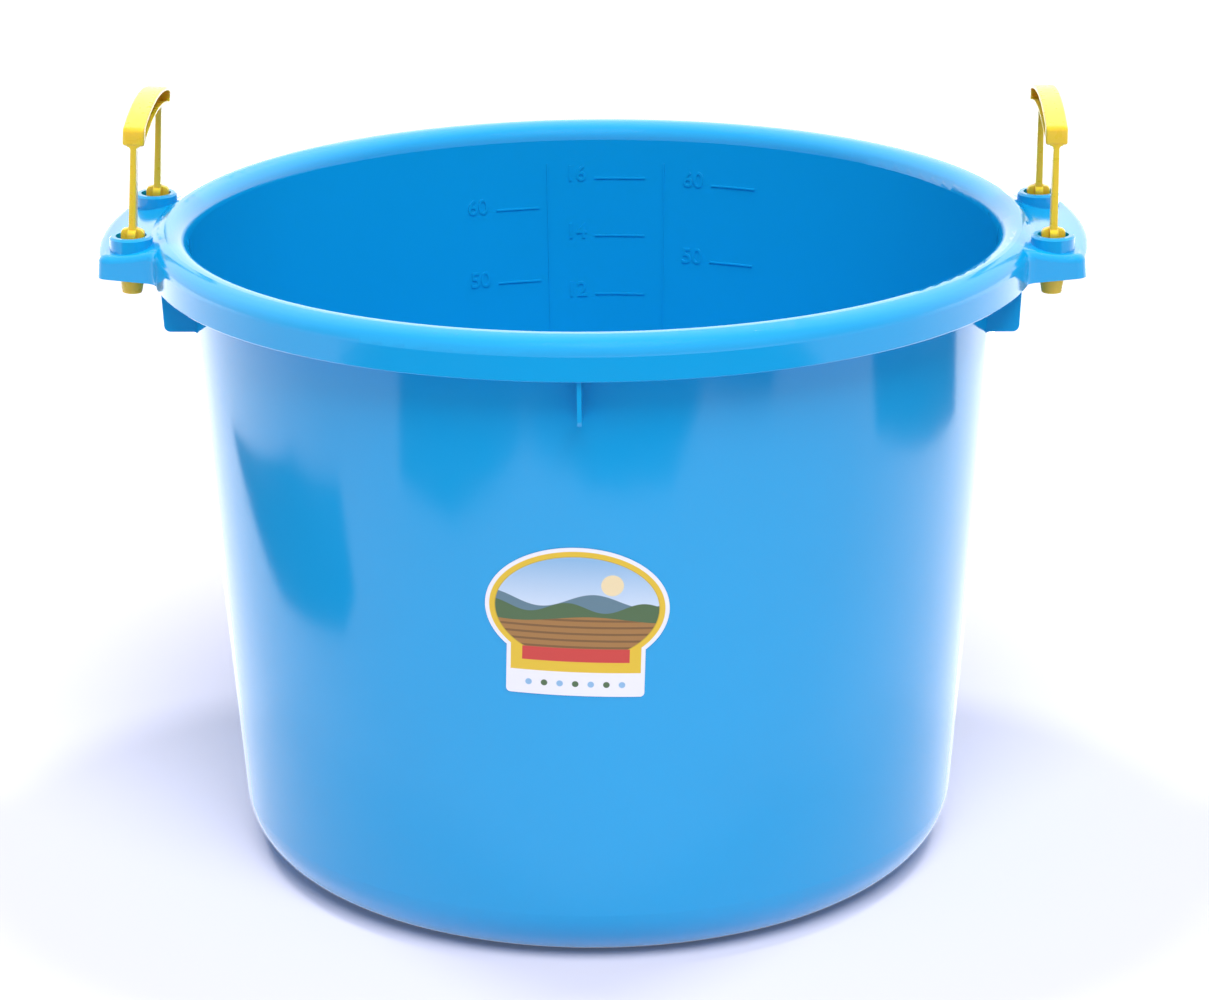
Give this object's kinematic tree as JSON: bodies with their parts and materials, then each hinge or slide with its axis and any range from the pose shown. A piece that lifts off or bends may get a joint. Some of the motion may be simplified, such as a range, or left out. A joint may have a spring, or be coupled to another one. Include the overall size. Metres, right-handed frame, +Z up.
{
  "type": "muck bucket",
  "caption": "Round tapered open plastic tub with a rolled channel rim and loose D-shaped lifting handles dropped into sockets on side ears.",
  "frame": {"origin": "middle of the base, on the ground", "axes": "+Z up along the tub's axis, +X and -X through the two ears with their handles, -Y the side with the label"},
  "size_m": [0.6108, 0.546, 0.481],
  "materials": {
    "tub_plastic": "glossy moulded polyethylene, bright blue",
    "handle_plastic": "satin moulded nylon, yellow",
    "label_film": "thin printed film, satin"
  },
  "bodies": {
    "tub": {"tub": "tub_plastic", "label": "label_film"},
    "handle_left": {"handle_left": "handle_plastic"},
    "handle_right": {"handle_right": "handle_plastic"}
  },
  "joints": [
    {"name": "handle_left_lift", "type": "slide", "parent": "tub", "child": "handle_left", "axis": [0, 0, 1], "range_m": [0, 0.0032]},
    {"name": "handle_right_lift", "type": "slide", "parent": "tub", "child": "handle_right", "axis": [0, 0, 1], "range_m": [0, 0.0042]}
  ]
}
